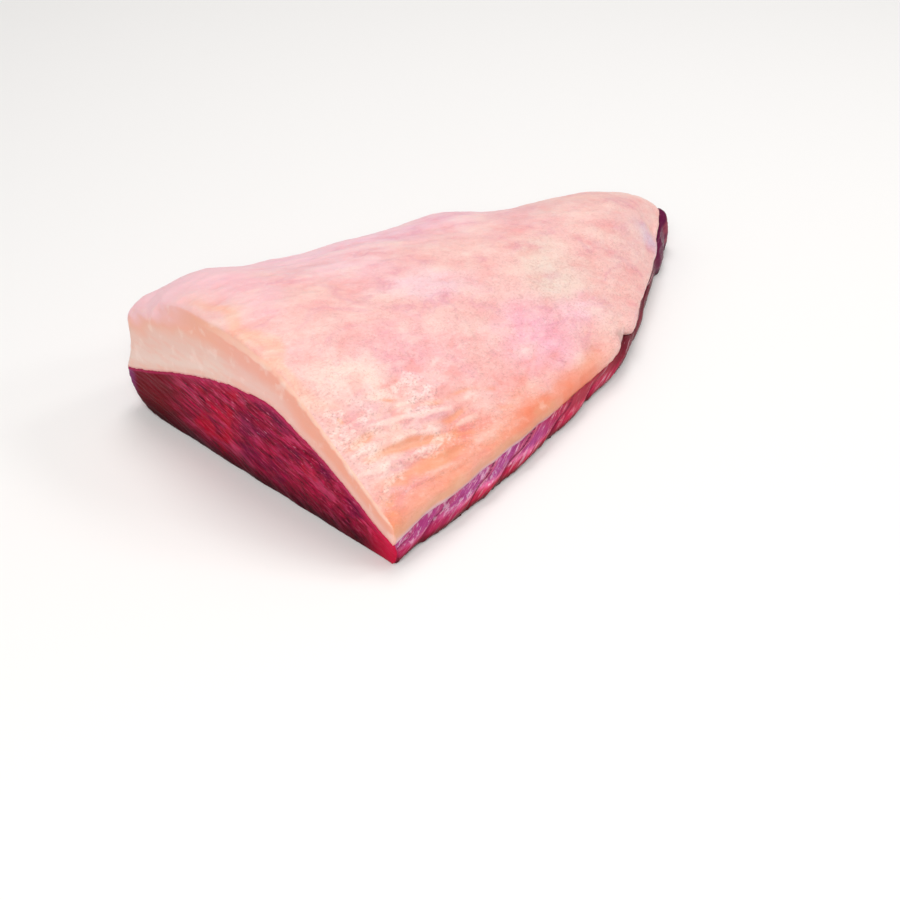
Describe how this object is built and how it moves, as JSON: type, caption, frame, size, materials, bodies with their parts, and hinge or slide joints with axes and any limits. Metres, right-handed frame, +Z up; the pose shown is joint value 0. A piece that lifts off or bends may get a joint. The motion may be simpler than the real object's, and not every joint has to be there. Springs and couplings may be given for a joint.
{
  "type": "raw picanha",
  "caption": "Whole raw rump cap, cut straight across its wide end and tapering to a tip, lying on its lean side under a thick cap of pale fat.",
  "frame": {"origin": "under the middle of the piece's box, on the plane it rests on", "axes": "+Y from the straight cut toward the pointed tip, +X toward the thin edge with the silverskin, +Z up through the fat"},
  "size_m": [0.1636, 0.274, 0.0694],
  "materials": {
    "lean_meat": "raw beef, moist and fibrous, crimson on the cut and violet under its silverskin",
    "beef_fat": "raw fat, waxy and moist, pale pink to peach"
  },
  "bodies": {
    "root": {"lean_meat": "lean_meat", "fat_cap": "beef_fat"}
  },
  "joints": []
}
